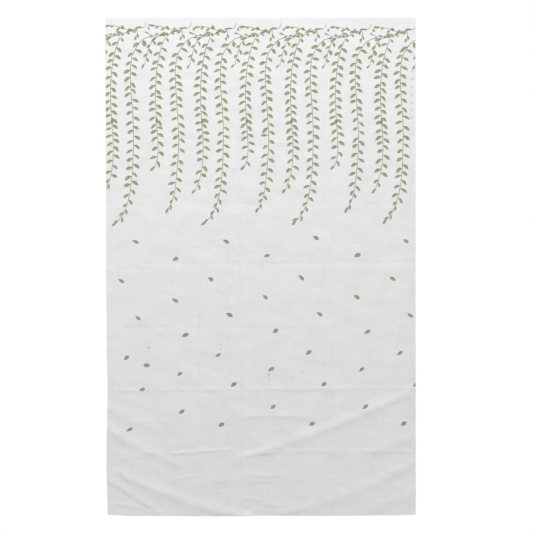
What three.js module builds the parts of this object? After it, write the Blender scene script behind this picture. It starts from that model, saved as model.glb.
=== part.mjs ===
// A sheer voile curtain panel, hung by its top edge and seen flat from the front.
// It is one sheet of white cloth with a narrow hem turned to the back on all four sides. The folds that it
// was packed in still show as creases, and its lower third sags in shallow swags.
// Millimetres. +Z is up, +X is to the right as seen from the front, and the front faces -Y. The origin is
// the middle of the top edge. A place on the cloth is given as across, from its left edge, and down, from
// its top edge.
import * as THREE from "three";

// Driving dimensions
const WIDTH = 1400;
const DROP = 2250;
const CLOTH = 1.2;
const SIDE_HEM = 18;
const END_HEM = 12;
const HEM_LAYER = 0.9;
const HEM_STEP = 2;

// The heading is stretched flat where it is held, and the folds grow below it
const FLAT_HEADING = 14;
const HEADING_FADE = 120;

// Widest spacing of the sheet's grid, finer in the swags
const COLUMN_STEP = 46;
const ROW_STEP_ABOVE = 72;
const ROW_STEP_SWAGS = 26;
const SWAGS_FROM = 1700;

// Packing creases. Height is towards the front, and a crease below zero is a valley.
const CREASE_REACH = 11;
const UPRIGHT_CREASES = [
  { across: 308, height: 1.6 },
  { across: 602, height: 3.0 },
  { across: 1015, height: -2.4 },
];
const LEVEL_CREASES = [
  { down: 280, height: -1.6 },
  { down: 561, height: 2.0 },
  { down: 842, height: -1.6 },
  { down: 1110, height: -2.2 },
  { down: 1400, height: -2.0 },
  { down: 1676, height: 2.8 },
  { down: 1963, height: 2.4 },
];

// Swag folds, each a soft ridge from one place to another. One that runs off an edge starts outside it.
// Bow is how far the ridge's middle hangs below the straight line.
const FOLDS = [
  { fromAcross: 1450, fromDown: 1656, toAcross: 540, toDown: 2010, bow: 22, height: 10, reach: 22 },
  { fromAcross: -30, fromDown: 1839, toAcross: 370, toDown: 2030, bow: 15, height: 7.2, reach: 22 },
  { fromAcross: 1470, fromDown: 1966, toAcross: 700, toDown: 2255, bow: 43, height: 11, reach: 22 },
  { fromAcross: 0, fromDown: 2030, toAcross: 760, toDown: 2278, bow: 34, height: 11.2, reach: 22 },
  { fromAcross: -40, fromDown: 2050, toAcross: 290, toDown: 2280, bow: 0, height: 5.5, reach: 18 },
  { fromAcross: 1450, fromDown: 1860, toAcross: 1050, toDown: 2018, bow: 10, height: 4, reach: 26 },
  { fromAcross: -40, fromDown: 1745, toAcross: 270, toDown: 1874, bow: 0, height: 4, reach: 22 },
  { fromAcross: 260, fromDown: 2092, toAcross: 840, toDown: 2056, bow: 12, height: 3, reach: 22 },
  { fromAcross: 560, fromDown: 1800, toAcross: 1130, toDown: 1806, bow: -4, height: 2.5, reach: 20 },
  { fromAcross: 1440, fromDown: 2128, toAcross: 1160, toDown: 2236, bow: 2, height: 5, reach: 22 },
];
const FOLD_ENDS = 0.2;

// Slow waves of the hanging cloth, which grow towards the foot
const BILLOWS = [
  { waves: 1.3, phase: 0.4, height: 7 },
  { waves: 2.9, phase: 1.9, height: 3.5 },
];

// How far the left edge is drawn in, and how far the foot hangs below its level or stays above it
const LEFT_EDGE = [
  { down: 0, by: 0 },
  { down: 1050, by: 3.5 },
  { down: 1500, by: 6 },
  { down: 1680, by: 10 },
  { down: 2000, by: 5 },
  { down: 2250, by: 10.3 },
];
const FOOT = [
  { across: 0, by: -6 },
  { across: 120, by: -1 },
  { across: 420, by: 0.5 },
  { across: 900, by: 0 },
  { across: 1100, by: -1.5 },
  { across: 1250, by: -3.5 },
  { across: 1400, by: -7 },
];

// The foot's unevenness dies away upwards as this power of the share of the drop
const FOOT_POWER = 4;

const VOILE_WHITE = 0xf1f2f1;
const VOILE_ROUGHNESS = 0.85;

const smooth = (from, to, value) => THREE.MathUtils.smoothstep(value, from, to);

// The smooth line through the rows of a table, read at one place along its key
function along(rows, key, place) {
  const next = Math.max(1, rows.findIndex((row) => row[key] >= place));
  const before = rows[next - 1];
  const after = rows[next];
  return THREE.MathUtils.lerp(before.by, after.by, smooth(before[key], after[key], place));
}

const creaseAt = (distance, height) => height * Math.max(0, 1 - Math.abs(distance) / CREASE_REACH);

// A fold's ridge at one place: full height on its centreline, fading to its ends and across its reach
function foldAt(fold, across, down) {
  const run = fold.toAcross - fold.fromAcross;
  const fall = fold.toDown - fold.fromDown;
  const passed = (across - fold.fromAcross) * run + (down - fold.fromDown) * fall;
  const t = THREE.MathUtils.clamp(passed / (run * run + fall * fall), 0, 1);
  const lineAcross = fold.fromAcross + run * t;
  const lineDown = fold.fromDown + fall * t + fold.bow * Math.sin(Math.PI * t);
  const distance = Math.hypot(across - lineAcross, down - lineDown);
  const taper = smooth(0, FOLD_ENDS, t) * smooth(0, FOLD_ENDS, 1 - t);
  return fold.height * taper * Math.exp(-((distance / fold.reach) ** 2));
}

// How far the cloth stands in front of the plane that it hangs in
function lift(across, down) {
  let height = 0;
  for (const crease of UPRIGHT_CREASES) {
    height += creaseAt(across - crease.across, crease.height);
  }
  for (const crease of LEVEL_CREASES) {
    height += creaseAt(down - crease.down, crease.height);
  }
  for (const fold of FOLDS) {
    height += foldAt(fold, across, down);
  }
  for (const wave of BILLOWS) {
    const turn = 2 * Math.PI * wave.waves * (across / WIDTH) + wave.phase;
    height += wave.height * (down / DROP) * Math.sin(turn);
  }
  return height * smooth(FLAT_HEADING, FLAT_HEADING + HEADING_FADE, down);
}

// What the turned hems add behind the cloth
function hemThickness(across, down) {
  const fromSide = Math.min(across, WIDTH - across) - SIDE_HEM;
  const fromEnd = Math.min(down, DROP - down) - END_HEM;
  return HEM_LAYER * (1 - smooth(0, HEM_STEP, Math.min(fromSide, fromEnd)));
}

// Grid lines over a length: every stop, with equal parts no wider than the step between stops
function gridLines(stops, stepAt) {
  const lines = [stops[0]];
  for (const [index, stop] of stops.slice(1).entries()) {
    const start = stops[index];
    const parts = Math.ceil((stop - start) / stepAt(start));
    for (let part = 1; part <= parts; part++) {
      lines.push(start + ((stop - start) * part) / parts);
    }
  }
  return lines;
}

const hemStops = (length, hem) => [0, hem, hem + HEM_STEP, length - hem - HEM_STEP, length - hem, length];
const creaseStops = (place) => [place - CREASE_REACH, place, place + CREASE_REACH];
const inOrder = (a, b) => a - b;

const columnStops = hemStops(WIDTH, SIDE_HEM)
  .concat(UPRIGHT_CREASES.flatMap((crease) => creaseStops(crease.across)))
  .sort(inOrder);
const rowStops = hemStops(DROP, END_HEM)
  .concat(LEVEL_CREASES.flatMap((crease) => creaseStops(crease.down)))
  .sort(inOrder);
const columns = gridLines(columnStops, () => COLUMN_STEP);
const rows = gridLines(rowStops, (down) => (down < SWAGS_FROM ? ROW_STEP_ABOVE : ROW_STEP_SWAGS));

// A box with one cell for each cell of the grid, whose corners are then moved onto the cloth's two faces
function sheetGeometry() {
  const columnCells = columns.length - 1;
  const rowCells = rows.length - 1;
  const geometry = new THREE.BoxGeometry(columnCells, 1, rowCells, columnCells, 1, rowCells);
  const corners = geometry.getAttribute("position");
  for (let n = 0; n < corners.count; n++) {
    const across = columns[Math.round(corners.getX(n) + columnCells / 2)];
    const down = rows[Math.round(rowCells / 2 - corners.getZ(n))];
    const drawnIn = along(LEFT_EDGE, "down", down) * (1 - across / WIDTH);
    const hangs = along(FOOT, "across", across) * (down / DROP) ** FOOT_POWER;
    const middle = -lift(across, down);
    const front = middle - CLOTH / 2;
    const back = middle + CLOTH / 2 + hemThickness(across, down);
    corners.setXYZ(n, across - WIDTH / 2 + drawnIn, corners.getY(n) < 0 ? front : back, -down - hangs);
  }
  geometry.computeVertexNormals();
  return geometry;
}

const voile = new THREE.MeshStandardMaterial({ color: VOILE_WHITE, roughness: VOILE_ROUGHNESS });

const panel = new THREE.Mesh(sheetGeometry(), voile);
panel.name = "voile_panel";

const curtain = new THREE.Group();
curtain.add(panel);

export default curtain;
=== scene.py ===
"""A sheer white voile curtain panel, printed with leafy vines and loose leaves, hanging by its top edge.

Metres. +X is to the right as seen from the front, +Z is up and the front faces -Y. The origin is the
middle of the top edge. A place on the cloth is given as across, from its left edge, and down, from its
top edge.
"""
import math
from typing import NamedTuple

import bmesh
import bpy
import numpy as np
from mathutils import Matrix, Vector
from mathutils.geometry import delaunay_2d_cdt
from mathutils.kdtree import KDTree


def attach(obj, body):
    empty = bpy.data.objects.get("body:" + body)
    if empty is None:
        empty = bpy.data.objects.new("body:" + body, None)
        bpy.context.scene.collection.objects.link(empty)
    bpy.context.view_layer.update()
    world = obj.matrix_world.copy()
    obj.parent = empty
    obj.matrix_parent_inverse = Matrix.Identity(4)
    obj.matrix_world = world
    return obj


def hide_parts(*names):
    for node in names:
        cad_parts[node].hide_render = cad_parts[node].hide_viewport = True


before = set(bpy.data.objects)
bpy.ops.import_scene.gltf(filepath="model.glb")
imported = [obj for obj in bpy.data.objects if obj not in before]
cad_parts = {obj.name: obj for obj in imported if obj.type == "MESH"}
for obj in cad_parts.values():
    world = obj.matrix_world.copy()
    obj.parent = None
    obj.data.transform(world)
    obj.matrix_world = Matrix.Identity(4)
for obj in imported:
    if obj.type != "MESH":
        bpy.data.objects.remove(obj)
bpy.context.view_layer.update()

# The finished panel, how thick it and its hems are, and how far its front lies before the plane that it
# hangs in
WIDTH = 1.400
DROP = 2.250
SIDE_HEM = 0.018
END_HEM = 0.012
VOILE = 0.0003
HEM = 0.0010
CLOTH_FRONT = 0.0004

# The heading is held flat, and the folds grow below it
FLAT_HEADING = 0.014
HEADING_FADE = 0.120

# How far the left edge is drawn in, and how far the foot hangs below its level or stays above it
LEFT_EDGE = {0: 0, 1.050: 0.0035, 1.500: 0.006, 1.680: 0.010, 2.000: 0.005, 2.250: 0.0103}
FOOT = {0: -0.006, 0.120: -0.001, 0.420: 0.0005, 0.900: 0, 1.100: -0.0015, 1.250: -0.0035, 1.400: -0.007}
FOOT_POWER = 4


class Billow(NamedTuple):
    """A slow wave of the hanging cloth, which grows towards the foot."""

    waves: float
    phase: float
    height: float


class Fold(NamedTuple):
    """A soft ridge between two places. Bow is how far its middle hangs below the straight line."""

    start: tuple
    end: tuple
    bow: float
    height: float
    reach: float


class Crease(NamedTuple):
    """A sharp line left by packing, from edge to edge, with a height at its start and at its end."""

    start: tuple
    end: tuple
    heights: tuple


BILLOWS = [
    Billow(waves=1.3, phase=0.4, height=0.0070),
    Billow(waves=2.9, phase=1.9, height=0.0035),
]

# Swags that sag across the foot. One that runs off an edge starts outside it.
SWAGS = [
    Fold(start=(1.450, 1.656), end=(0.540, 2.010), bow=0.022, height=0.0094, reach=0.022),
    Fold(start=(-0.030, 1.839), end=(0.370, 2.030), bow=0.015, height=0.0072, reach=0.022),
    Fold(start=(1.470, 1.966), end=(0.700, 2.255), bow=0.043, height=0.0098, reach=0.022),
    Fold(start=(0.000, 2.030), end=(0.760, 2.278), bow=0.034, height=0.0105, reach=0.022),
    Fold(start=(-0.040, 2.050), end=(0.290, 2.280), bow=0.000, height=0.0055, reach=0.018),
    Fold(start=(1.450, 1.860), end=(1.050, 2.018), bow=0.010, height=0.0040, reach=0.026),
    Fold(start=(-0.040, 1.745), end=(0.270, 1.874), bow=0.000, height=0.0040, reach=0.022),
    Fold(start=(0.260, 2.092), end=(0.840, 2.056), bow=0.012, height=0.0030, reach=0.022),
    Fold(start=(0.560, 1.800), end=(1.130, 1.806), bow=-0.004, height=0.0025, reach=0.020),
    Fold(start=(1.440, 2.128), end=(1.160, 2.236), bow=0.002, height=0.0050, reach=0.022),
]

# A fold fades over this share of its length at both ends, and reaches a little less far upwards
FOLD_ENDS = 0.2
UPPER_REACH = 0.8
LOWER_REACH = 0.9

# Small puckers between the swags and short creases above them, all too fine for the solid
PUCKERS = [
    Fold(start=(0.262, 1.972), end=(0.610, 1.949), bow=-0.004, height=0.0038, reach=0.007),
    Fold(start=(0.580, 1.982), end=(0.790, 1.962), bow=0.000, height=0.0026, reach=0.007),
    Fold(start=(0.830, 1.957), end=(1.030, 1.957), bow=0.000, height=0.0022, reach=0.007),
    Fold(start=(1.080, 1.950), end=(1.390, 1.960), bow=0.002, height=0.0018, reach=0.008),
    Fold(start=(0.030, 1.992), end=(0.185, 1.982), bow=-0.002, height=0.0022, reach=0.007),
    Fold(start=(0.050, 2.034), end=(0.110, 2.102), bow=0.003, height=0.0042, reach=0.008),
    Fold(start=(0.020, 2.116), end=(0.250, 2.250), bow=0.004, height=-0.0026, reach=0.010),
    Fold(start=(0.020, 2.200), end=(0.150, 2.218), bow=-0.006, height=0.0038, reach=0.007),
    Fold(start=(0.615, 2.172), end=(0.710, 2.196), bow=-0.010, height=0.0038, reach=0.0065),
    Fold(start=(0.690, 2.198), end=(0.860, 2.212), bow=0.000, height=0.0032, reach=0.0065),
    Fold(start=(0.310, 2.087), end=(0.430, 2.064), bow=-0.003, height=0.0036, reach=0.006),
    Fold(start=(0.590, 2.093), end=(0.790, 2.097), bow=0.000, height=0.0026, reach=0.007),
    Fold(start=(0.590, 2.068), end=(0.830, 2.072), bow=-0.004, height=0.0020, reach=0.008),
    Fold(start=(0.600, 1.802), end=(0.900, 1.797), bow=0.000, height=0.0022, reach=0.007),
    Fold(start=(0.140, 1.818), end=(0.310, 1.828), bow=0.000, height=0.0018, reach=0.009),
    Fold(start=(0.020, 1.796), end=(0.140, 1.838), bow=0.003, height=0.0020, reach=0.010),
    Fold(start=(0.640, 1.108), end=(0.740, 1.064), bow=0.000, height=0.0009, reach=0.009),
    Fold(start=(0.890, 1.120), end=(1.030, 0.930), bow=0.004, height=0.0009, reach=0.009),
    Fold(start=(0.020, 1.134), end=(0.240, 1.137), bow=0.000, height=-0.0014, reach=0.007),
    Fold(start=(0.100, 1.704), end=(0.900, 1.701), bow=0.000, height=0.0012, reach=0.007),
    Fold(start=(0.309, 0.960), end=(0.307, 1.440), bow=0.000, height=0.0032, reach=0.007),
    Fold(start=(0.424, 1.250), end=(0.424, 1.720), bow=0.000, height=-0.0026, reach=0.007),
    Fold(start=(0.553, 0.980), end=(0.552, 1.740), bow=0.000, height=-0.0026, reach=0.007),
]

# Packing creases, the upright ones first
CREASES = [
    Crease(start=(0.308, 0.0), end=(0.306, DROP), heights=(0.0014, -0.0024)),
    Crease(start=(0.412, 0.0), end=(0.414, DROP), heights=(0.0003, 0.0010)),
    Crease(start=(0.566, 0.0), end=(0.564, DROP), heights=(-0.0003, -0.0024)),
    Crease(start=(0.598, 0.0), end=(0.606, DROP), heights=(0.0016, 0.0032)),
    Crease(start=(0.992, 0.0), end=(1.000, DROP), heights=(-0.0007, -0.0014)),
    Crease(start=(1.026, 0.0), end=(1.036, DROP), heights=(-0.0008, -0.0016)),
    Crease(start=(0.0, 0.280), end=(WIDTH, 0.281), heights=(-0.0005, -0.0005)),
    Crease(start=(0.0, 0.563), end=(WIDTH, 0.560), heights=(0.0006, 0.0005)),
    Crease(start=(0.0, 0.842), end=(WIDTH, 0.843), heights=(-0.0005, -0.0005)),
    Crease(start=(0.0, 1.113), end=(WIDTH, 1.104), heights=(-0.0009, -0.0015)),
    Crease(start=(0.0, 1.398), end=(WIDTH, 1.402), heights=(-0.0009, -0.0008)),
    Crease(start=(0.0, 1.681), end=(WIDTH, 1.669), heights=(0.0026, 0.0017)),
    Crease(start=(0.0, 1.964), end=(WIDTH, 1.958), heights=(0.0012, 0.0008)),
]

# A crease rises steeply on one side and falls away slowly on the other, where it has a shallow partner. Its
# height varies slowly along it, for each crease in a phase of its own.
CREASE_RISE = 0.0050
CREASE_REACH = 0.0130
CREASE_PARTNER = 0.022
PARTNER_SHARE = 0.25
CREASE_VARIATION = 0.30
CREASE_WAVE = 0.52
CREASE_PHASE = 9

# Crumple: a faint unevenness of the whole cloth, in waves that run upright or level, give or take a spread
CRUMPLE_WAVES = 40
CRUMPLE_HEIGHT = 0.00034
CRUMPLE_SHORTEST = 0.034
CRUMPLE_LONGEST = 0.140
CRUMPLE_SPREAD = 0.5
CRUMPLE_SEED = 11


def smooth(low, high, value):
    """Rises smoothly from 0 at low to 1 at high."""
    t = np.clip((value - low) / (high - low), 0, 1)
    return t * t * (3 - 2 * t)


def along(table, place):
    """The smooth line through a table of place and amount, read at many places."""
    places, amounts = list(table), list(table.values())
    line = np.full(np.shape(place), float(amounts[0]))
    for start, end, low, high in zip(places, places[1:], amounts, amounts[1:]):
        line += (high - low) * smooth(start, end, place)
    return line


def fold_height(fold, across, down):
    """A fold at each place: full height on its centreline, fading to its ends and across its reach."""
    run = fold.end[0] - fold.start[0]
    fall = fold.end[1] - fold.start[1]
    passed = (across - fold.start[0]) * run + (down - fold.start[1]) * fall
    t = np.clip(passed / (run * run + fall * fall), 0, 1)
    line_down = fold.start[1] + fall * t + fold.bow * np.sin(math.pi * t)
    distance = np.hypot(across - fold.start[0] - run * t, down - line_down)
    reach = fold.reach * np.where(down < line_down, UPPER_REACH, LOWER_REACH)
    taper = smooth(0, FOLD_ENDS, t) * smooth(0, FOLD_ENDS, 1 - t)
    return fold.height * taper * np.exp(-((distance / reach) ** 2))


def crease_height(crease, across, down):
    """A crease at each place: a narrow ridge with a shallow partner beside it."""
    run = crease.end[0] - crease.start[0]
    fall = crease.end[1] - crease.start[1]
    length = math.hypot(run, fall)
    t = ((across - crease.start[0]) * run + (down - crease.start[1]) * fall) / length**2
    aside = ((down - crease.start[1]) * run - (across - crease.start[0]) * fall) / length
    height = crease.heights[0] + (crease.heights[1] - crease.heights[0]) * t
    phase = crease.start[0] + CREASE_PHASE * crease.start[1]
    height *= 1 + CREASE_VARIATION * np.sin(2 * math.pi * t * length / CREASE_WAVE + phase)
    ridge = np.exp(-((aside / np.where(aside < 0, CREASE_RISE, CREASE_REACH)) ** 2))
    partner = np.exp(-(((aside - CREASE_PARTNER) / CREASE_REACH) ** 2))
    return height * (ridge - PARTNER_SHARE * partner)


def crumple(across, down):
    """The faint unevenness, as a sum of small waves in many directions."""
    draw = np.random.default_rng(CRUMPLE_SEED)
    height = np.zeros(np.shape(across))
    for _ in range(CRUMPLE_WAVES):
        wavelength = draw.uniform(CRUMPLE_SHORTEST, CRUMPLE_LONGEST)
        heading = draw.normal(0, CRUMPLE_SPREAD) + draw.choice((0, math.pi / 2))
        phase = draw.uniform(0, 2 * math.pi)
        turn = 2 * math.pi / wavelength * (across * math.cos(heading) + down * math.sin(heading))
        height += CRUMPLE_HEIGHT * wavelength / CRUMPLE_LONGEST * np.sin(turn + phase)
    return height


def lift(across, down):
    """How far the cloth stands in front of the plane that it hangs in."""
    height = crumple(across, down)
    for fold in SWAGS + PUCKERS:
        height += fold_height(fold, across, down)
    for crease in CREASES:
        height += crease_height(crease, across, down)
    for wave in BILLOWS:
        turn = 2 * math.pi * wave.waves * (across / WIDTH) + wave.phase
        height += wave.height * (down / DROP) * np.sin(turn)
    return height * smooth(FLAT_HEADING, FLAT_HEADING + HEADING_FADE, down)


def hang(across, down, behind=0.0):
    """Where places on the flat cloth come to hang, one row each, on its front or so far behind it."""
    drawn_in = along(LEFT_EDGE, down) * (1 - across / WIDTH)
    hangs = along(FOOT, across) * (down / DROP) ** FOOT_POWER
    front = -lift(across, down) - CLOTH_FRONT + behind
    return np.stack([across - WIDTH / 2 + drawn_in, front, -down - hangs], axis=-1)


# The print. Ink places are on the flat cloth, and headings are degrees clockwise from level to the right.
# The inks have the numbers of the sheet's materials, where 0 is the bare cloth.
LEAF, STEM, MARK, STAIN = 1, 2, 3, 4


class Printed(NamedTuple):
    """A printed shape: its ink, its outline, places inside it, and the leaf coordinates of both."""

    ink: int
    outline: np.ndarray
    inside: np.ndarray
    outline_leaf: np.ndarray
    inside_leaf: np.ndarray


class Spray(NamedTuple):
    """A leaf of the garland: its base from the knot, its heading, length and width."""

    across: float
    down: float
    heading: float
    length: float
    width: float


# The garland's knots, where two vines part. The chart below is for the cloth to the right of one knot.
KNOT_ACROSS = 0.0669
KNOT_DOWN = 0.0870
KNOT_FALL = 0.0015
KNOT_PITCH = 0.2033
KNOTS = range(-2, 8)

ARCH = [(0.004, -0.006), (0.020, -0.016), (0.037, -0.026), (0.056, -0.033), (0.080, -0.040), (0.101, -0.041),
        (0.113, -0.051), (0.116, -0.068)]
RUNNER = [(0.160, -0.050), (0.178, -0.049), (0.198, -0.043), (0.220, -0.037), (0.240, -0.030),
          (0.262, -0.034)]
TWIG = [(0.110, -0.025), (0.127, -0.016), (0.145, -0.007), (0.162, -0.008), (0.182, -0.013), (0.208, -0.010)]
SPRIG = [(0.155, 0.006), (0.147, 0.015), (0.139, 0.025), (0.132, 0.040), (0.126, 0.058), (0.122, 0.078),
         (0.116, 0.098), (0.111, 0.121)]
SMALL_SPRIG = [(0.074, -0.038), (0.077, -0.022), (0.076, -0.006)]
GARLAND_TWIGS = [ARCH, RUNNER, TWIG, SPRIG, SMALL_SPRIG]

GARLAND_LEAVES = [
    Spray(across=0.001, down=0.001, heading=45, length=0.023, width=0.011),
    Spray(across=0.001, down=-0.008, heading=196, length=0.021, width=0.008),
    Spray(across=0.005, down=-0.023, heading=66, length=0.020, width=0.010),
    Spray(across=0.017, down=-0.034, heading=-118, length=0.022, width=0.011),
    Spray(across=0.026, down=-0.020, heading=28, length=0.019, width=0.009),
    Spray(across=0.051, down=-0.031, heading=168, length=0.032, width=0.009),
    Spray(across=0.055, down=-0.032, heading=52, length=0.018, width=0.008),
    Spray(across=0.074, down=-0.034, heading=142, length=0.022, width=0.009),
    Spray(across=0.064, down=-0.036, heading=-35, length=0.017, width=0.008),
    Spray(across=0.103, down=-0.041, heading=190, length=0.031, width=0.008),
    Spray(across=0.162, down=-0.050, heading=184, length=0.034, width=0.011),
    Spray(across=0.176, down=-0.049, heading=160, length=0.018, width=0.009),
    Spray(across=0.124, down=-0.044, heading=60, length=0.016, width=0.010),
    Spray(across=0.203, down=-0.040, heading=158, length=0.023, width=0.010),
    Spray(across=0.222, down=-0.035, heading=205, length=0.020, width=0.009),
    Spray(across=0.236, down=-0.031, heading=-24, length=0.019, width=0.008),
    Spray(across=0.244, down=-0.030, heading=20, length=0.018, width=0.009),
    Spray(across=0.128, down=-0.015, heading=205, length=0.022, width=0.006),
    Spray(across=0.145, down=-0.006, heading=158, length=0.018, width=0.008),
    Spray(across=0.170, down=-0.009, heading=198, length=0.018, width=0.008),
    Spray(across=0.186, down=-0.014, heading=150, length=0.018, width=0.009),
    Spray(across=0.214, down=-0.016, heading=193, length=0.032, width=0.010),
    Spray(across=0.165, down=0.001, heading=163, length=0.036, width=0.010),
    Spray(across=0.103, down=0.013, heading=78, length=0.030, width=0.018),
    Spray(across=0.146, down=0.017, heading=58, length=0.026, width=0.011),
    Spray(across=0.137, down=0.034, heading=150, length=0.029, width=0.010),
    Spray(across=0.129, down=0.052, heading=56, length=0.028, width=0.013),
    Spray(across=0.123, down=0.075, heading=144, length=0.026, width=0.010),
    Spray(across=0.117, down=0.093, heading=46, length=0.023, width=0.011),
    Spray(across=0.111, down=0.120, heading=136, length=0.026, width=0.009),
    Spray(across=0.076, down=-0.018, heading=58, length=0.024, width=0.009),
    Spray(across=0.075, down=-0.005, heading=118, length=0.023, width=0.010),
]


class Vine(NamedTuple):
    """A hanging vine: its route from its knot, and the pitch of one side's leaves at places down it.

    Its leaves spring between the first leaf's place and the last one's, and close up along the tail at its
    foot. The tip heading is the last leaf's, at the tip, and the first share how much longer the first is.
    """

    route: list
    pitches: dict
    first_leaf: float
    last_leaf: float
    tail: float
    tip_heading: float
    first_share: float


# Two vines hang from each knot, an arched one and a straight one, and the pairs take turns. Leaves spring
# from both sides in turn at a pitch that slowly changes down the vine, each a little off its place.
ARCHED_TOP = [(-0.003, -0.006), (-0.014, -0.008), (-0.045, -0.002), (-0.077, -0.001), (-0.094, 0.005),
              (-0.108, 0.016), (-0.121, 0.031), (-0.136, 0.056), (-0.147, 0.076), (-0.153, 0.100)]
STRAIGHT_TOP = [(0, 0), (-0.013, 0.030), (-0.025, 0.072), (-0.038, 0.140), (-0.045, 0.245)]
MIDDLING_ARCHED = Vine(
    ARCHED_TOP + [(-0.159, 0.170), (-0.152, 0.300), (-0.144, 0.440), (-0.147, 0.540), (-0.156, 0.640),
                  (-0.166, 0.716), (-0.178, 0.752), (-0.189, 0.774)],
    pitches={0: 0.044, 0.100: 0.039, 0.200: 0.033, 0.330: 0.040, 0.600: 0.043, 0.774: 0.038},
    first_leaf=0.030, last_leaf=0.762, tail=0.11, tip_heading=126, first_share=1.25,
)
LONG_STRAIGHT = Vine(
    STRAIGHT_TOP + [(-0.041, 0.370), (-0.034, 0.480), (-0.036, 0.560), (-0.044, 0.620), (-0.054, 0.655),
                    (-0.066, 0.690)],
    pitches={0: 0.042, 0.100: 0.037, 0.330: 0.034, 0.420: 0.030, 0.560: 0.045, 0.620: 0.045, 0.690: 0.029},
    first_leaf=0.025, last_leaf=0.680, tail=0.07, tip_heading=140, first_share=1,
)
LONG_ARCHED = Vine(
    ARCHED_TOP + [(-0.159, 0.180), (-0.153, 0.285), (-0.146, 0.400), (-0.147, 0.520), (-0.152, 0.620),
                  (-0.162, 0.700), (-0.176, 0.760), (-0.196, 0.806), (-0.222, 0.838)],
    pitches={0: 0.044, 0.100: 0.037, 0.200: 0.037, 0.330: 0.043, 0.600: 0.041, 0.836: 0.038},
    first_leaf=0.030, last_leaf=0.832, tail=0.15, tip_heading=140, first_share=1.25,
)
SHORT_STRAIGHT = Vine(
    STRAIGHT_TOP + [(-0.042, 0.360), (-0.036, 0.450), (-0.034, 0.510), (-0.038, 0.550), (-0.048, 0.584)],
    pitches={0: 0.041, 0.100: 0.038, 0.330: 0.035, 0.400: 0.030, 0.500: 0.045, 0.584: 0.047},
    first_leaf=0.026, last_leaf=0.568, tail=0.03, tip_heading=145, first_share=1,
)
VINE_PAIRS = [(MIDDLING_ARCHED, LONG_STRAIGHT), (LONG_ARCHED, SHORT_STRAIGHT)]

# The print runs a little askew: each knot to the right is lower, and its vines are shorter by this share
VINE_SHORTENING = 0.0039

# A vine's leaves. They stand out to its left and right, and lean with it once it is clear of the garland.
# In its tail they are smaller and turn towards its heading, fully so in the last of the tail's parts.
LEAF_LENGTH = 0.0328
LEAF_WIDTH = 0.0138
OPEN_HEADINGS = (168, 18)
TAIL_SPREADS = (38, -46)
VINE_LEAF_BEND = 0.30
GARLAND_LEAF_BEND = 0.10
TAIL_SHARE = 0.74
TAIL_PARTS = 3
STRAIGHT_DOWN = 90
LEAN = 0.45
LEANS_FROM = 0.15
LEANS_FULLY = 0.25
VINE_STEP = 0.004
LEAF_UNEVENNESS = 0.0025
TIP_LEAF = (0.031, 0.011)

# The stems' widths at the base, the share of them that is left at the tip, and the steps along a stem
VINE_STEM = 0.0027
TWIG_STEM = 0.0024
STEM_TIP_SHARE = 0.8
STEM_STEP = 0.016

# One leaf lies over the stem of each straight vine
OVER_STEM_DOWN = 0.375
OVER_STEM_LEAF = Spray(across=0.004, down=-0.012, heading=104, length=0.027, width=0.013)


class Loose(NamedTuple):
    """A loose leaf of the first repeat: its middle, its heading, the pitch of its repeats and their rises.

    A rise is how much higher than the first one a repeat lies.
    """

    across: float
    down: float
    heading: float
    pitch: float
    rises: tuple


# Loose leaves under the vines, each repeated across the cloth, where the print has drifted upwards
LOOSE_LEAVES = [
    Loose(across=0.131, down=1.014, heading=28, pitch=0.409, rises=(0, 0.005, 0.020, 0.005)),
    Loose(across=0.317, down=1.088, heading=-27, pitch=0.410, rises=(0, 0.017, 0.014)),
    Loose(across=0.067, down=1.188, heading=30, pitch=0.409, rises=(0, 0.005, 0.017, 0.010)),
    Loose(across=0.309, down=1.276, heading=31, pitch=0.412, rises=(0, 0.016, 0.013)),
    Loose(across=0.144, down=1.357, heading=27, pitch=0.411, rises=(0, 0.014, 0.020, 0.014)),
    Loose(across=0.354, down=1.432, heading=-36, pitch=0.413, rises=(0, 0.018, 0.012)),
    Loose(across=0.091, down=1.535, heading=-37, pitch=0.413, rises=(0, 0.013, 0.022, 0.020)),
    Loose(across=0.329, down=1.606, heading=-34, pitch=0.414, rises=(0, 0.019, 0.014)),
    Loose(across=0.158, down=1.676, heading=-32, pitch=0.4145, rises=(0, 0.018, 0.020, 0.018)),
    Loose(across=0.337, down=1.779, heading=-35, pitch=0.418, rises=(0, 0.020, 0.021)),
    Loose(across=0.1015, down=1.860, heading=-32, pitch=0.415, rises=(0, 0.023, 0.026, 0.024)),
]
LOOSE_LENGTH = 0.0315
LOOSE_WIDTH = 0.0155
LOOSE_BEND = 0.05

# Grey marks: a smudged leaf, two specks, a row of pin marks in the right selvage, and a few faint stains
SMUDGE = (0.1795, 1.570)
SMUDGE_SIZE = (0.029, 0.019)
SPECKS = [(0.5150, 1.476), (0.5160, 1.494)]
SPECK_SIZE = (0.012, 0.009)
PIN_MARKS_ACROSS = 1.384
PIN_MARKS_DOWN = [0.240, 0.276, 0.312, 0.352, 0.385, 0.417, 0.450]
PIN_MARK_SIZE = (0.0120, 0.0105)
STAINS = [
    ((0.1900, 1.490), (0.018, 0.011)),
    ((0.7340, 1.612), (0.008, 0.022)),
    ((0.7370, 1.637), (0.009, 0.012)),
    ((0.8410, 1.628), (0.009, 0.012)),
    ((0.8820, 1.600), (0.007, 0.008)),
]

# A leaf's outline: the places along it, and the powers that set where it is widest and how full it is
LEAF_STATIONS = 6
WIDEST_POWER = 1.2
FULLNESS_POWER = 0.8

# How leaves that are drawn by hand differ: a shift, a turn in degrees, and shares of length, width and bend
LEAF_SHIFT = 0.0009
LEAF_TURN = 6
LENGTH_SHARES = (0.86, 1.12)
WIDTH_SHARES = (0.84, 1.14)
BEND_SHARES = (0.4, 1.4)

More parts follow.
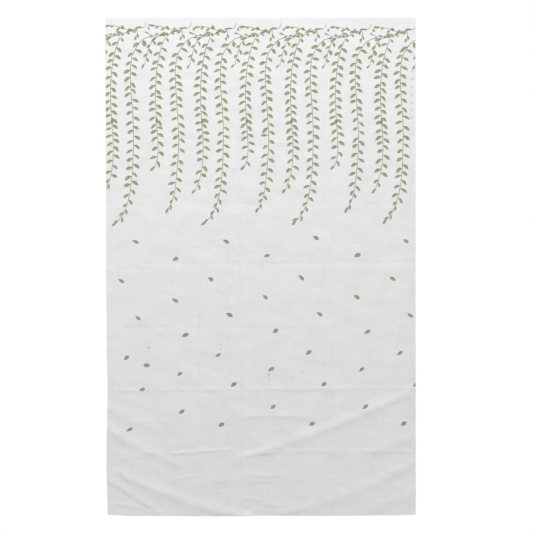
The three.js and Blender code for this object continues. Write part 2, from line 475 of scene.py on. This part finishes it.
# Points round an oval, steps of a curve between two charted places, and the fewest places on a stem
OVAL_POINTS = 10
CURVE_STEPS = 12
FEWEST_PLACES = 3
PRINT_SEED = 5
draw = np.random.default_rng(PRINT_SEED)


def turned(points, heading, base):
    """Points turned clockwise by a heading in degrees and moved to a base."""
    c, s = math.cos(math.radians(heading)), math.sin(math.radians(heading))
    return points @ np.array([[c, s], [-s, c]]) + np.asarray(base)


def half_width(t):
    """A leaf's half width along it, as a share of the greatest, which it has just past its middle."""
    return np.sin(math.pi * t**WIDEST_POWER) ** FULLNESS_POWER


def leaf(base, heading, length, width, bend):
    """A pointed leaf from its base, with its midrib bent downwards. Its upper edge has leaf coordinate -1."""
    t = np.linspace(0, 1, LEAF_STATIONS + 2)
    down_side = 1 if math.cos(math.radians(heading)) > 0 else -1
    rib = np.stack([t * length, down_side * bend * length * t * t], axis=-1)
    side = np.stack([0 * t, half_width(t) * width / 2], axis=-1)
    edges = np.concatenate([rib[:-1] - side[:-1], (rib + side)[:0:-1]])
    first_edge = np.stack([t[:-1], 0 * t[:-1] - down_side], axis=-1)
    second_edge = np.stack([t[:0:-1], 0 * t[1:] + down_side], axis=-1)
    on_rib = np.stack([t[1:-1], 0 * t[1:-1]], axis=-1)
    return Printed(LEAF, turned(edges, heading, base), turned(rib[1:-1], heading, base),
                   np.concatenate([first_edge, second_edge]), on_rib)


def drawn_leaf(base, heading, length, width, bend):
    """A leaf as it was drawn by hand: each is a little different."""
    return leaf(
        np.asarray(base) + draw.normal(0, LEAF_SHIFT, 2),
        heading + draw.normal(0, LEAF_TURN),
        length * draw.uniform(*LENGTH_SHARES),
        width * draw.uniform(*WIDTH_SHARES),
        bend * draw.uniform(*BEND_SHARES),
    )


def oval(middle, size, ink=MARK):
    """A small oval mark."""
    turn = np.linspace(0, 2 * math.pi, OVAL_POINTS, endpoint=False)
    ring = np.stack([np.cos(turn) * size[0] / 2, np.sin(turn) * size[1] / 2], axis=-1) + np.asarray(middle)
    return Printed(ink, ring, np.zeros((0, 2)), np.zeros((OVAL_POINTS, 2)), np.zeros((0, 2)))


def flowing(route, step):
    """Even steps along the smooth curve through a route: their places, and the headings there in degrees."""
    points = np.asarray(route, float)
    ends = np.concatenate([[2 * points[0] - points[1]], points, [2 * points[-1] - points[-2]]])
    t = np.linspace(0, 1, CURVE_STEPS, endpoint=False)[:, None]
    spans = []
    for a, b, c, d in zip(ends, ends[1:], ends[2:], ends[3:]):
        # The smooth curve from b to c, which a and d give its direction at the two ends
        spans.append(0.5 * (
            2 * b + (c - a) * t + (2 * a - 5 * b + 4 * c - d) * t**2 + (3 * b - a - 3 * c + d) * t**3
        ))
    line = np.concatenate(spans + [points[-1:]])
    travelled = np.concatenate([[0], np.cumsum(np.hypot(*np.diff(line, axis=0).T))])
    at = np.linspace(0, travelled[-1], max(FEWEST_PLACES, round(travelled[-1] / step) + 1))
    places = np.stack([np.interp(at, travelled, line[:, 0]), np.interp(at, travelled, line[:, 1])], axis=-1)
    slope = np.gradient(places, axis=0)
    return places, np.degrees(np.arctan2(slope[:, 1], slope[:, 0]))


def stem(route, width):
    """A thin printed stem along a route, which narrows to its tip."""
    places, headings = flowing(route, STEM_STEP)
    turn = np.radians(headings)
    aside = np.stack([-np.sin(turn), np.cos(turn)], axis=-1)
    half = np.linspace(width, width * STEM_TIP_SHARE, len(places))[:, None] / 2
    outline = np.concatenate([places + aside * half, (places - aside * half)[::-1]])
    return Printed(STEM, outline, np.zeros((0, 2)), np.zeros((len(outline), 2)), np.zeros((0, 2)))


def vine_leaves(vine, route, knot_down, hangs):
    """The leaves down both sides of a vine in turn, smaller and turned in along its tail, and its tip's."""
    places, headings = flowing(route, VINE_STEP)
    foot = vine.route[-1][1]
    leaves = []
    down = vine.first_leaf
    while down < vine.last_leaf:
        springs = down + draw.normal(0, LEAF_UNEVENNESS)
        at = int(np.argmin(abs(places[:, 1] - knot_down - springs * hangs)))
        closing = float(smooth(foot - vine.tail, foot - vine.tail / TAIL_PARTS, down))
        size = 1 - (1 - TAIL_SHARE) * closing
        length = LEAF_LENGTH * size * (1 if leaves else vine.first_share)
        side = len(leaves) % 2
        lean = LEAN * (headings[at] - STRAIGHT_DOWN) * float(smooth(LEANS_FROM, LEANS_FULLY, down))
        open_heading = OPEN_HEADINGS[side] + lean
        heading = open_heading + closing * (headings[at] + TAIL_SPREADS[side] - open_heading)
        leaves.append(drawn_leaf(places[at], heading, length, LEAF_WIDTH * size, VINE_LEAF_BEND))
        down += float(along(vine.pitches, down)) / 2
    leaves.append(drawn_leaf(places[-1], vine.tip_heading, *TIP_LEAF, GARLAND_LEAF_BEND))
    return leaves


def garland_and_vines():
    """The knots of the garland from edge to edge, and the vines that hang from them."""
    stems, leaves = [], []
    for number in KNOTS:
        knot = np.array([KNOT_ACROSS + KNOT_PITCH * number, KNOT_DOWN + KNOT_FALL * number])
        hangs = 1 - VINE_SHORTENING * number
        arched, straight = VINE_PAIRS[number % 2]
        for vine in (arched, straight):
            route = knot + np.asarray(vine.route) * (1, hangs)
            stems.append(stem(route, VINE_STEM))
            leaves += vine_leaves(vine, route, knot[1], hangs)
        over_across = np.interp(OVER_STEM_DOWN, *np.asarray(straight.route).T[::-1])
        over = knot + (over_across, OVER_STEM_DOWN) + OVER_STEM_LEAF[:2]
        leaves.append(drawn_leaf(over, *OVER_STEM_LEAF[2:], GARLAND_LEAF_BEND))
        stems += [stem(np.asarray(twig) + knot, TWIG_STEM) for twig in GARLAND_TWIGS]
        leaves += [drawn_leaf(knot + spray[:2], *spray[2:], GARLAND_LEAF_BEND) for spray in GARLAND_LEAVES]
    return stems + leaves


def loose_leaves():
    """The loose leaves, row by row."""
    leaves = []
    for row in LOOSE_LEAVES:
        reach = np.array([math.cos(math.radians(row.heading)), math.sin(math.radians(row.heading))])
        for repeat, rise in enumerate(row.rises):
            middle = np.array([row.across + row.pitch * repeat, row.down - rise])
            base = middle - reach * LOOSE_LENGTH / 2
            leaves.append(drawn_leaf(base, row.heading, LOOSE_LENGTH, LOOSE_WIDTH, LOOSE_BEND))
    return leaves


def grey_marks():
    """The smudge, the specks, the pin marks and the stains."""
    marks = [oval(SMUDGE, SMUDGE_SIZE)]
    marks += [oval(place, SPECK_SIZE, STAIN) for place in SPECKS]
    marks += [oval((PIN_MARKS_ACROSS, down), PIN_MARK_SIZE, STAIN) for down in PIN_MARKS_DOWN]
    marks += [oval(middle, size, STAIN) for middle, size in STAINS]
    return marks


# The sheet's own points, before the print is let into it: an even grid, closer together at the edges and
# hems, with rows of points beside each crease and pucker. Grid and rows keep clear of one another and of
# the print.
GRID_STEP = 0.0130
HEM_EDGE = 0.0015
CREASES_FROM_HEM = 2 * HEM_EDGE
FIRST_CELL = 3 * HEM_EDGE
CELLS_FROM_HEM = 4 * HEM_EDGE
CREASE_STEP = 0.014
CREASE_ROWS = (-0.015, -0.009, -0.0045, 0, 0.0045, 0.009, 0.015, 0.021)
PUCKER_ROWS = (-0.013, -0.0065, 0, 0.0065, 0.013)
CREASE_CLEAR = 0.0062
ROWS_CLEAR = CREASE_CLEAR / 2
PRINT_CLEAR = 0.0026
JOIN = 1e-6

# The triangulation's setting that keeps the triangles inside the loops
INSIDE_LOOPS = 1

# The leaf coordinates of a point that belongs to no shape
NO_LEAF = (0.5, 0)


def grid_lines(length, hem):
    """Places over a length: close together at both edges and hem lines, and evenly spaced between."""
    near = np.array([0, HEM_EDGE, hem - HEM_EDGE, hem, hem + HEM_EDGE, hem + FIRST_CELL])
    cells = math.ceil((length - 2 * near[-1]) / GRID_STEP)
    middle = np.linspace(near[-1], length - near[-1], cells + 1)
    return np.concatenate([near[:-1], middle, length - near[-2::-1]])


def beside(start, end, offsets, bow=0.0):
    """Rows of places along a line, each at an offset to its side."""
    start, end = np.asarray(start), np.asarray(end)
    length = np.hypot(*(end - start))
    heading = (end - start) / length
    aside = np.array([-heading[1], heading[0]])
    t = np.linspace(0, 1, round(length / CREASE_STEP) + 1)
    line = start + np.outer(t, end - start) + np.outer(bow * np.sin(math.pi * t), (0, 1))
    return np.concatenate([line + aside * offset for offset in offsets])


def clear_of(points, others, gap):
    """The points that lie farther than a gap from all the others."""
    tree = KDTree(len(others))
    for index, other in enumerate(others):
        tree.insert((*other, 0), index)
    tree.balance()
    return np.array([p for p in points if tree.find((*p, 0))[2] > gap])


def well_inside(points, margin):
    """The points that lie inside the cloth, clear of its hems."""
    across, down = points.T
    keep = (across > margin) & (across < WIDTH - margin) & (down > margin) & (down < DROP - margin)
    return points[keep]


def sheet_points():
    """The rim of the sheet in order, and the points inside it, closer together along creases and hems."""
    columns = grid_lines(WIDTH, SIDE_HEM)
    rows = grid_lines(DROP, END_HEM)
    rim = [(a, 0) for a in columns[:-1]] + [(WIDTH, d) for d in rows[:-1]]
    rim += [(a, DROP) for a in columns[:0:-1]] + [(0, d) for d in rows[:0:-1]]
    grid = np.array([(a, d) for d in rows[1:-1] for a in columns[1:-1]])
    lines = [beside(crease.start, crease.end, CREASE_ROWS) for crease in CREASES]
    lines += [beside(pucker.start, pucker.end, PUCKER_ROWS, pucker.bow) for pucker in PUCKERS]
    creased = np.zeros((0, 2))
    for line in lines:
        line = well_inside(line, SIDE_HEM + CREASES_FROM_HEM)
        if len(creased):
            line = clear_of(line, creased, ROWS_CLEAR)
        creased = np.concatenate([creased, line])
    middle = well_inside(grid, SIDE_HEM + CELLS_FROM_HEM)
    kept = {tuple(p) for p in clear_of(middle, creased, CREASE_CLEAR)}
    hems = {tuple(p) for p in grid} - {tuple(p) for p in middle}
    return np.array(rim), np.concatenate([np.array(sorted(kept | hems)), creased])


def anticlockwise(loop, points):
    """A loop of point numbers, turned round if need be: the triangulation takes them anticlockwise."""
    across, down = points[loop].T
    area = np.sum(across * np.roll(down, -1) - np.roll(across, -1) * down)
    return loop if area < 0 else loop[::-1]


def printed_mesh(name, shapes):
    """The flat sheet as triangles with each printed shape let into it, hung in its folds."""
    rim, inner = sheet_points()
    ink_points = np.concatenate([np.concatenate([shape.outline, shape.inside]) for shape in shapes])
    inner = clear_of(inner, ink_points, PRINT_CLEAR)
    points = np.concatenate([rim, inner, ink_points])
    loops = [list(range(len(rim)))]
    start = len(rim) + len(inner)
    leaf_places = np.zeros((len(points), 2))
    for shape in shapes:
        size = len(shape.outline)
        loops.append(list(range(start, start + size)))
        leaf_places[start:start + size] = shape.outline_leaf
        leaf_places[start + size:start + size + len(shape.inside)] = shape.inside_leaf
        start += size + len(shape.inside)

    flat = [Vector((a, -d)) for a, d in points]
    loops = [anticlockwise(loop, points) for loop in loops]
    corners, _, faces, from_points, _, from_loops = delaunay_2d_cdt(
        flat, [], loops, INSIDE_LOOPS, JOIN, True
    )
    cloth = [(face, owners) for face, owners in zip(faces, from_loops) if 0 in owners]
    used = sorted({corner for face, _ in cloth for corner in face})
    renumber = {corner: index for index, corner in enumerate(used)}
    triangles = [[renumber[corner] for corner in face] for face, _ in cloth]
    flat_places = np.array([corners[corner] for corner in used]) * (1, -1)

    mesh = bpy.data.meshes.new(name)
    mesh.from_pydata(hang(*flat_places.T).tolist(), [], triangles)
    # Where shapes lie over one another, the ink with the higher number shows
    inks = [max((shapes[owner - 1].ink, -owner) for owner in owners if owner)[0] if len(owners) > 1 else 0
            for _, owners in cloth]
    mesh.polygons.foreach_set("material_index", inks)
    mesh.polygons.foreach_set("use_smooth", [True] * len(triangles))
    owned = [leaf_places[from_points[corner][0]] if from_points[corner] else NO_LEAF for corner in used]
    corner_index = np.array(triangles).ravel()
    cloth_map = mesh.uv_layers.new(name="cloth")
    cloth_map.data.foreach_set("uv", (flat_places[corner_index] * (1, -1) + (0, DROP)).ravel())
    leaf_map = mesh.uv_layers.new(name="leaf")
    leaf_map.data.foreach_set("uv", np.array(owned)[corner_index].ravel())
    return mesh, flat_places


def linear(colour):
    """An sRGB hex colour as linear red, green and blue, by that standard's own curve, with full alpha."""
    parts = [int(colour[i:i + 2], 16) / 255 for i in (1, 3, 5)]
    return (*[c / 12.92 if c <= 0.04045 else ((c + 0.055) / 1.055) ** 2.4 for c in parts], 1.0)


def add(tree, kind, links=None, inputs=None, **settings):
    """Adds one node: its settings, the values of its inputs, and what is linked to them."""
    node = tree.nodes.new(kind)
    for name, value in settings.items():
        setattr(node, name, value)
    for name, value in (inputs or {}).items():
        node.inputs[name].default_value = value
    for name, source in (links or {}).items():
        tree.links.new(source, node.inputs[name])
    return node


# The weave. Real voile has a yarn about every 0.35 mm. It is drawn more than three times as coarse, and the
# slubs, where a yarn is uneven, wider than real ones, because finer ones wouldn't show.
THREAD_PITCH = 0.0012
YARN_WAVER = 0.6
YARN_DETAIL = 1.0
SLUB_WIDTH = 0.0025
SLUB_LENGTH = 0.060
SLUB_DETAIL = 2.0
SLUB_RELIEF = 0.6
WEAVE_BUMP = 0.25
WEAVE_HEIGHT = 0.0002

# What Blender's wave texture multiplies its scale by before it takes the sine
WAVE_RADIANS = 20

# Fine wrinkles. The level ones are this share as high as the upright ones.
WRINKLE_HEIGHT = 0.0018
WRINKLE_WIDTH = 0.014
WRINKLE_LENGTH = 0.075
WRINKLE_DETAIL = 1.0
LEVEL_WRINKLES = 0.6

# How dense the cloth is to the eye: between its threads, what a thread, a slub and a hem add to that, and
# what is taken off for the mean of the slubs. The dye leaves this share of the cloth's sheerness.
OPEN_ALPHA = 0.62
THREAD_ALPHA = 0.24
SLUB_ALPHA = 0.10
HEM_DENSITY = 0.07
SLUB_MEAN = 0.02
DYED_SHEER = 0.75

# Polyester yarn: matte, with a faint fuzz
YARN_SURFACE = {
    "Roughness": 0.78,
    "IOR": 1.46,
    "Specular IOR Level": 0.25,
    "Sheen Weight": 0.15,
    "Sheen Roughness": 0.5,
}

# How many times to a metre each colour drifts, every 110 mm, 29 mm, 50 mm and 6 mm, and in what detail
CLOTH_DRIFTS = 9.0
CLOTH_DETAIL = 3.0
LEAF_DRIFTS = 34.0
LEAF_DETAIL = 1.0
STEM_DRIFTS = 20.0
GREY_DRIFTS = 160.0
DYE_DETAIL = 2.0

# A printed leaf, in leaf coordinates. It darkens outwards to its edge and backwards to its base, each from
# its own place, and its upper side is darker by a share. Where the drift is high, it is faded by a share.
LEAF_EDGE_FROM = 0.45
LEAF_BASE_TO = 0.30
LEAF_SHADE_REACH = 0.9
LEAF_SHADE_SHARE = 0.35
LEAF_FADE_RANGE = (0.35, 0.65)
LEAF_FADE_SHARE = 0.45


def streaks(tree, width, length, detail):
    """Noise that is drawn out into streaks of a width and length: upright ones, and then level ones."""
    cloth = add(tree, "ShaderNodeUVMap", uv_map="cloth").outputs["UV"]
    both = []
    for scale in ((1 / width, 1 / length, 1), (1 / length, 1 / width, 1)):
        drawn_out = add(tree, "ShaderNodeMapping", {"Vector": cloth}, {"Scale": scale}).outputs[0]
        noise = add(tree, "ShaderNodeTexNoise", {"Vector": drawn_out}, {"Scale": 1.0, "Detail": detail})
        both.append(noise.outputs["Fac"])
    return both


def voile_weave(tree):
    """Fine polyester yarns in a plain weave, set wide apart: their height, and how uneven they are."""
    cloth = add(tree, "ShaderNodeUVMap", uv_map="cloth").outputs["UV"]
    scale = 2 * math.pi / WAVE_RADIANS / THREAD_PITCH
    yarns = {"Scale": scale, "Distortion": YARN_WAVER, "Detail": YARN_DETAIL}
    warp = add(tree, "ShaderNodeTexWave", {"Vector": cloth}, yarns, wave_type="BANDS", bands_direction="X")
    weft = add(tree, "ShaderNodeTexWave", {"Vector": cloth}, yarns, wave_type="BANDS", bands_direction="Y")
    threads = add(tree, "ShaderNodeMath", {0: warp.outputs["Fac"], 1: weft.outputs["Fac"]},
                  operation="MAXIMUM")
    upright, level = streaks(tree, SLUB_WIDTH, SLUB_LENGTH, SLUB_DETAIL)
    slubs = add(tree, "ShaderNodeMath", {0: upright, 1: level}, operation="MULTIPLY")
    return threads.outputs[0], slubs.outputs[0]


def fine_wrinkles(tree):
    """The short upright and level wrinkles of cloth that has lain folded, as a height."""
    upright, level = streaks(tree, WRINKLE_WIDTH, WRINKLE_LENGTH, WRINKLE_DETAIL)
    both = add(tree, "ShaderNodeMath", {0: level, 2: upright}, {1: LEVEL_WRINKLES}, operation="MULTIPLY_ADD")
    return both.outputs[0]


def finish_voile(material, colour, sheer=1.0):
    """Puts a colour on the weave: matte yarn, see-through between its threads and less so in a hem."""
    tree = material.node_tree
    surface = tree.nodes["Principled BSDF"]
    threads, slubs = voile_weave(tree)
    hem = add(tree, "ShaderNodeAttribute", attribute_name="hem").outputs["Fac"]
    between = 1 - (1 - OPEN_ALPHA) * sheer - SLUB_MEAN
    woven = add(tree, "ShaderNodeMath", {0: threads}, {1: THREAD_ALPHA, 2: between},
                operation="MULTIPLY_ADD").outputs[0]
    uneven = add(tree, "ShaderNodeMath", {0: slubs, 2: woven}, {1: SLUB_ALPHA},
                 operation="MULTIPLY_ADD").outputs[0]
    dense = add(tree, "ShaderNodeMath", {0: hem, 2: uneven}, {1: HEM_DENSITY},
                operation="MULTIPLY_ADD", use_clamp=True).outputs[0]
    relief = add(tree, "ShaderNodeMath", {0: slubs, 2: threads}, {1: SLUB_RELIEF},
                 operation="MULTIPLY_ADD").outputs[0]
    rumpled = add(tree, "ShaderNodeBump", {"Height": fine_wrinkles(tree)},
                  {"Strength": 1.0, "Distance": WRINKLE_HEIGHT}).outputs[0]
    bump = add(tree, "ShaderNodeBump", {"Height": relief, "Normal": rumpled},
               {"Strength": WEAVE_BUMP, "Distance": WEAVE_HEIGHT}).outputs[0]
    tree.links.new(colour, surface.inputs["Base Color"])
    tree.links.new(dense, surface.inputs["Alpha"])
    tree.links.new(bump, surface.inputs["Normal"])
    for name, value in YARN_SURFACE.items():
        surface.inputs[name].default_value = value


def new_material(name):
    """A material with nodes, ready to be finished."""
    material = bpy.data.materials.new(name)
    material.use_nodes = True
    return material


def drifting(tree, drifts, detail, one, other):
    """A colour that drifts between two over the cloth, so many times to a metre."""
    cloth = add(tree, "ShaderNodeUVMap", uv_map="cloth").outputs["UV"]
    drift = add(tree, "ShaderNodeTexNoise", {"Vector": cloth}, {"Scale": drifts, "Detail": detail})
    colour = add(tree, "ShaderNodeMix", {"Factor": drift.outputs["Fac"]}, data_type="RGBA")
    colour.inputs["A"].default_value = linear(one)
    colour.inputs["B"].default_value = linear(other)
    return colour.outputs["Result"]


def white_polyester_voile():
    """Bleached polyester voile, woven and heat-set: a clean white, even but for slightly dimmer patches."""
    material = new_material("white_polyester_voile")
    finish_voile(material, drifting(material.node_tree, CLOTH_DRIFTS, CLOTH_DETAIL, "#eaeaea", "#f3f3f3"))
    return material


def leaf_print():
    """Transfer-printed dye in the same weave: yellow-green, darker at a leaf's edge, base and upper side."""
    material = new_material("leaf_green_print")
    tree = material.node_tree
    place = add(tree, "ShaderNodeUVMap", uv_map="leaf").outputs["UV"]
    split = add(tree, "ShaderNodeSeparateXYZ", {"Vector": place})
    off_rib = add(tree, "ShaderNodeMath", {0: split.outputs["Y"]}, operation="ABSOLUTE").outputs[0]
    edge = add(tree, "ShaderNodeMapRange", {"Value": off_rib}, {"From Min": LEAF_EDGE_FROM, "From Max": 1.0},
               interpolation_type="SMOOTHSTEP").outputs[0]
    upper = add(tree, "ShaderNodeMapRange", {"Value": split.outputs["Y"]},
                {"From Min": LEAF_SHADE_REACH, "From Max": -LEAF_SHADE_REACH},
                interpolation_type="SMOOTHSTEP").outputs[0]
    base = add(tree, "ShaderNodeMapRange", {"Value": split.outputs["X"]},
               {"From Min": LEAF_BASE_TO, "From Max": 0.0}).outputs[0]
    rim = add(tree, "ShaderNodeMath", {0: edge, 1: base}, operation="MAXIMUM").outputs[0]
    dark = add(tree, "ShaderNodeMath", {0: upper, 2: rim}, {1: LEAF_SHADE_SHARE},
               operation="MULTIPLY_ADD", use_clamp=True).outputs[0]
    colour = add(tree, "ShaderNodeMix", {"Factor": dark}, data_type="RGBA")
    colour.inputs["A"].default_value = linear("#aebb82")
    colour.inputs["B"].default_value = linear("#5c6b4a")
    cloth = add(tree, "ShaderNodeUVMap", uv_map="cloth").outputs["UV"]
    drift = add(tree, "ShaderNodeTexNoise", {"Vector": cloth}, {"Scale": LEAF_DRIFTS, "Detail": LEAF_DETAIL})
    low, high = LEAF_FADE_RANGE
    faded = add(tree, "ShaderNodeMapRange", {"Value": drift.outputs["Fac"]},
                {"From Min": low, "From Max": high, "To Max": LEAF_FADE_SHARE}).outputs[0]
    varied = add(tree, "ShaderNodeMix", {"Factor": faded, "A": colour.outputs["Result"]}, data_type="RGBA")
    varied.inputs["B"].default_value = linear("#859365")
    finish_voile(material, varied.outputs["Result"], DYED_SHEER)
    return material


def stem_print():
    """The stems' thin line, printed grey-green in the same dye."""
    material = new_material("stem_green_print")
    colour = drifting(material.node_tree, STEM_DRIFTS, DYE_DETAIL, "#5f7157", "#7f8a77")
    finish_voile(material, colour, DYED_SHEER)
    return material


def grey_print(name, dark, light):
    """Grey dye or dust in the yarn, a little blotchy."""
    material = new_material(name)
    colour = drifting(material.node_tree, GREY_DRIFTS, DYE_DETAIL, dark, light)
    finish_voile(material, colour, DYED_SHEER)
    return material


def voile_sheet():
    """The printed panel: one thin sheet, thicker where its hems are turned to the back."""
    shapes = garland_and_vines() + loose_leaves() + grey_marks()
    mesh, flat_places = printed_mesh("voile_sheet", shapes)
    sheet = bpy.data.objects.new("voile_sheet", mesh)
    bpy.context.collection.objects.link(sheet)
    smudge = grey_print("grey_smudge_print", "#8f9091", "#a9aaab")
    stain = grey_print("faint_grey_stain", "#cccccb", "#dcdcda")
    for material in (white_polyester_voile(), leaf_print(), stem_print(), smudge, stain):
        mesh.materials.append(material)

    across, down = flat_places.T
    from_side = np.minimum(across, WIDTH - across) - SIDE_HEM
    from_end = np.minimum(down, DROP - down) - END_HEM
    hemmed = 1 - smooth(0, HEM_EDGE, np.minimum(from_side, from_end))
    mesh.attributes.new("hem", "FLOAT", "POINT").data.foreach_set("value", hemmed)
    turned_in = sheet.vertex_groups.new(name="turned_in")
    for index in np.flatnonzero(hemmed > 0):
        turned_in.add([int(index)], float(hemmed[index]), "REPLACE")

    shell = sheet.modifiers.new("thickness", "SOLIDIFY")
    shell.thickness = HEM
    shell.offset = -1
    shell.vertex_group = "turned_in"
    shell.thickness_vertex_group = VOILE / HEM
    shell.use_even_offset = False
    return sheet


# Stitches: short bars of thread in a row near each hem's inner edge, on the front and on the back. The
# middle of a bar lies this share of its radius out of the cloth.
STITCH_LENGTH = 0.0034
STITCH_PITCH = 0.0045
STITCH_INSET = 0.0020
STITCH_SIDES = 5
STITCH_RINGS = 4
THREAD_RADIUS = 0.00018
THREAD_PROUD = 0.4
HEM_ENDS_CLEAR = 0.004

# The thread's twist, about every 0.35 mm, and its gloss
TWIST_SCALE = 900.0
TWIST_BUMP = 0.4
TWIST_HEIGHT = 0.00005
THREAD_ROUGHNESS = 0.6


def stitch_rows():
    """The middles and headings of the stitches along the four hems, near each hem's inner edge."""
    side, end = SIDE_HEM - STITCH_INSET, END_HEM - STITCH_INSET
    rows = [
        ((HEM_ENDS_CLEAR, end), (WIDTH - HEM_ENDS_CLEAR, end)),
        ((HEM_ENDS_CLEAR, DROP - end), (WIDTH - HEM_ENDS_CLEAR, DROP - end)),
        ((side, HEM_ENDS_CLEAR), (side, DROP - HEM_ENDS_CLEAR)),
        ((WIDTH - side, HEM_ENDS_CLEAR), (WIDTH - side, DROP - HEM_ENDS_CLEAR)),
    ]
    middles, headings = [], []
    for start, stop in np.array(rows):
        length = np.hypot(*(stop - start))
        t = np.linspace(0, 1, round(length / STITCH_PITCH) + 1)[:, None]
        middles.append(start + t * (stop - start))
        headings.append(np.repeat([(stop - start) / length], len(t), axis=0))
    return np.concatenate(middles), np.concatenate(headings)


def stitch_thread():
    """Spun polyester thread, white like the cloth, with its twist as a fine slanted ridge and painted shade
    in the twist's grooves.
    """
    material = new_material("white_sewing_thread")
    tree = material.node_tree
    surface = tree.nodes["Principled BSDF"]
    place = add(tree, "ShaderNodeTexCoord").outputs["Object"]
    twist = add(tree, "ShaderNodeTexWave", {"Vector": place}, {"Scale": TWIST_SCALE}, wave_type="BANDS",
                bands_direction="DIAGONAL").outputs["Fac"]
    bump = add(tree, "ShaderNodeBump", {"Height": twist}, {"Strength": TWIST_BUMP, "Distance": TWIST_HEIGHT})
    # Painted shade: the colour darkens where the twist is low, so its grooves are painted darker than its
    # ridges
    painted_groove_shade = add(tree, "ShaderNodeMix", {"Factor": twist}, data_type="RGBA")
    painted_groove_shade.inputs["A"].default_value = linear("#dfdfdf")
    painted_groove_shade.inputs["B"].default_value = linear("#f1f1f1")
    tree.links.new(painted_groove_shade.outputs["Result"], surface.inputs["Base Color"])
    tree.links.new(bump.outputs[0], surface.inputs["Normal"])
    surface.inputs["Roughness"].default_value = THREAD_ROUGHNESS
    return material


def one_stitch():
    """One stitch as a small rounded bar along X, and its faces."""
    bar = bmesh.new()
    bmesh.ops.create_uvsphere(bar, u_segments=STITCH_SIDES, v_segments=STITCH_RINGS, radius=1)
    bmesh.ops.rotate(bar, verts=bar.verts, matrix=Matrix.Rotation(math.pi / 2, 3, "Y"))
    bmesh.ops.scale(bar, verts=bar.verts, vec=(STITCH_LENGTH / 2, THREAD_RADIUS, THREAD_RADIUS))
    corners = np.array([corner.co for corner in bar.verts])
    faces = [[corner.index for corner in face.verts] for face in bar.faces]
    bar.free()
    return corners, faces


def hem_stitches():
    """The stitches that show on the front and on the back of the hems, in one mesh."""
    middles, headings = stitch_rows()
    bar, bar_faces = one_stitch()
    aside = np.stack([-headings[:, 1], headings[:, 0]], axis=-1)
    places = middles[:, None] + headings[:, None] * bar[:, :1] + aside[:, None] * bar[:, 1:2]
    corners, faces = [], []
    for behind, out in ((0, -1), (HEM, 1)):
        core = hang(places[..., 0], places[..., 1], behind)
        core[..., 1] += bar[:, 2] + out * THREAD_RADIUS * THREAD_PROUD
        first = len(corners) * len(middles) * len(bar)
        faces += [[first + number * len(bar) + corner for corner in face]
                  for number in range(len(middles)) for face in bar_faces]
        corners.append(core.reshape(-1, 3))
    mesh = bpy.data.meshes.new("hem_stitches")
    mesh.from_pydata(np.concatenate(corners).tolist(), [], faces)
    mesh.polygons.foreach_set("use_smooth", [True] * len(faces))
    mesh.materials.append(stitch_thread())
    stitches = bpy.data.objects.new("hem_stitches", mesh)
    bpy.context.collection.objects.link(stitches)
    return stitches


sheet = voile_sheet()
stitches = hem_stitches()
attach(stitches, "root")
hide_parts("voile_panel")
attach(sheet, "root")

# The camera looks straight at the panel, from far enough for little perspective, and its frame takes in
# this width there
FIELD = 2.4075
CAMERA_AWAY = 6.70
SENSOR = 36.0
CAMERA_ACROSS = 0.0272
CAMERA_DOWN = 1.1235


def camera():
    """The photograph's view: level and square on."""
    lens = bpy.data.cameras.new("camera")
    lens.sensor_width = SENSOR
    lens.lens = SENSOR * CAMERA_AWAY / FIELD
    eye = bpy.data.objects.new("camera", lens)
    eye.location = (CAMERA_ACROSS, -CAMERA_AWAY, -CAMERA_DOWN)
    eye.rotation_euler = (math.radians(90), 0, 0)
    bpy.context.collection.objects.link(eye)
    bpy.context.scene.camera = eye


def softbox(name, place, aim, size, power):
    """A wide soft light that faces a place."""
    lamp = bpy.data.lights.new(name, "AREA")
    lamp.shape = "RECTANGLE"
    lamp.size, lamp.size_y = size
    lamp.energy = power
    box = bpy.data.objects.new(name, lamp)
    box.location = place
    box.rotation_euler = (Vector(aim) - Vector(place)).to_track_quat("-Z", "Y").to_euler()
    bpy.context.collection.objects.link(box)


# How bright the white surroundings are on the cloth, and as the camera sees them
SURROUNDINGS = 0.58
BACKDROP = 1.0

# The floor lies so far below the foot that it is out of the camera's view
FLOOR_BELOW = 0.35
FLOOR_RADIUS = 1.20
FLOOR_THICKNESS = 0.02
FLOOR_SIDES = 96
FLOOR_ROUGHNESS = 0.8


def studio():
    """White surroundings, a pale round floor, a softbox high before the front and a weak one behind."""
    world = bpy.data.worlds.new("studio")
    bpy.context.scene.world = world
    world.use_nodes = True
    tree = world.node_tree
    seen = add(tree, "ShaderNodeLightPath").outputs["Is Camera Ray"]
    strength = add(tree, "ShaderNodeMapRange", {"Value": seen}, {"To Min": SURROUNDINGS, "To Max": BACKDROP})
    tree.links.new(strength.outputs[0], tree.nodes["Background"].inputs["Strength"])
    tree.nodes["Background"].inputs["Color"].default_value = (1, 1, 1, 1)

    bpy.ops.mesh.primitive_cylinder_add(
        vertices=FLOOR_SIDES, radius=FLOOR_RADIUS, depth=FLOOR_THICKNESS, location=(0, 0, -DROP - FLOOR_BELOW)
    )
    floor = bpy.context.object
    floor.name = "floor"
    paint = new_material("pale_floor_paint")
    surface = paint.node_tree.nodes["Principled BSDF"]
    surface.inputs["Base Color"].default_value = linear("#d2d2d0")
    surface.inputs["Roughness"].default_value = FLOOR_ROUGHNESS
    floor.data.materials.append(paint)

    softbox("softbox_front", place=(-0.5, -3.8, 2.3), aim=(0, 0, -0.9), size=(2.6, 1.5), power=138)
    softbox("softbox_back", place=(1.0, 3.0, 0.8), aim=(0, 0, -1.0), size=(2.6, 1.4), power=34)
    bpy.context.scene.view_settings.view_transform = "Standard"


camera()
studio()
